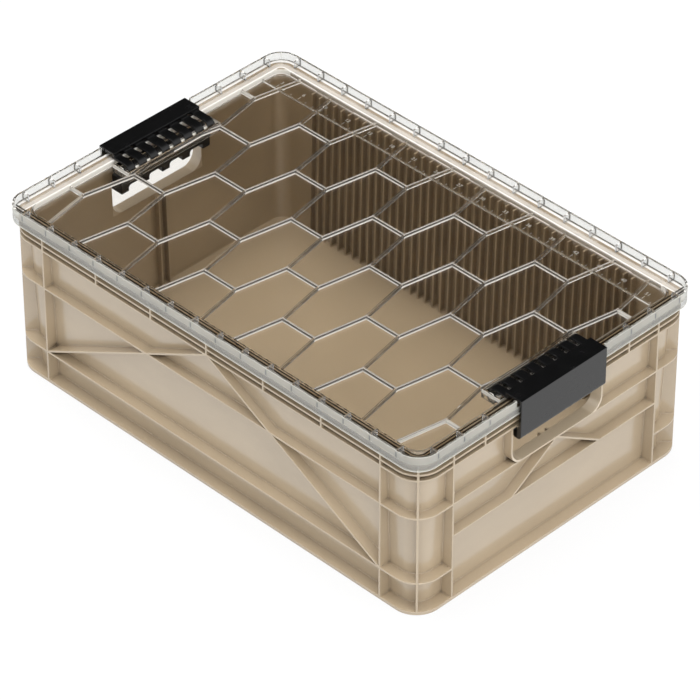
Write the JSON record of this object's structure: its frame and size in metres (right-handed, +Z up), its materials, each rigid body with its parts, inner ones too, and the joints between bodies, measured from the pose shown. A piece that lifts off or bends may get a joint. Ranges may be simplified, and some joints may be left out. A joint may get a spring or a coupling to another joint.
{
  "type": "storage crate",
  "caption": "Rectangular ribbed plastic storage crate with a clear lift-off honeycomb lid, hinged snap latches on the short ends and finger grips in the handle openings.",
  "frame": {"origin": "centre of the flat base, on the surface that the crate stands on", "axes": "+X along the crate's length towards the right latch, +Y across it towards the lid's scale rib, +Z up"},
  "size_m": [0.6148, 0.4064, 0.2095],
  "materials": {
    "crate_plastic": "smooth tan moulded plastic with a soft gloss",
    "lid_clear": "clear glossy moulded plastic",
    "latch_black": "smooth black moulded plastic",
    "grip_black": "satin black moulded plastic"
  },
  "bodies": {
    "crate": {"crate_body": "crate_plastic", "grip_left": "grip_black", "grip_right": "grip_black"},
    "lid": {"lid": "lid_clear"},
    "latch_left": {"latch_left": "latch_black"},
    "latch_right": {"latch_right": "latch_black"}
  },
  "joints": [
    {"name": "lid_lift", "type": "slide", "parent": "crate", "child": "lid", "axis": [0, 0, 1], "range_m": [0, 0.25]},
    {"name": "latch_left_swing", "type": "hinge", "parent": "lid", "child": "latch_left", "pos_m": [-0.2695, 0, 0.1945], "axis": [0, 1, 0], "range_deg": [0, 95]},
    {"name": "latch_right_swing", "type": "hinge", "parent": "lid", "child": "latch_right", "pos_m": [0.2695, 0, 0.1945], "axis": [0, -1, 0], "range_deg": [0, 95]}
  ]
}
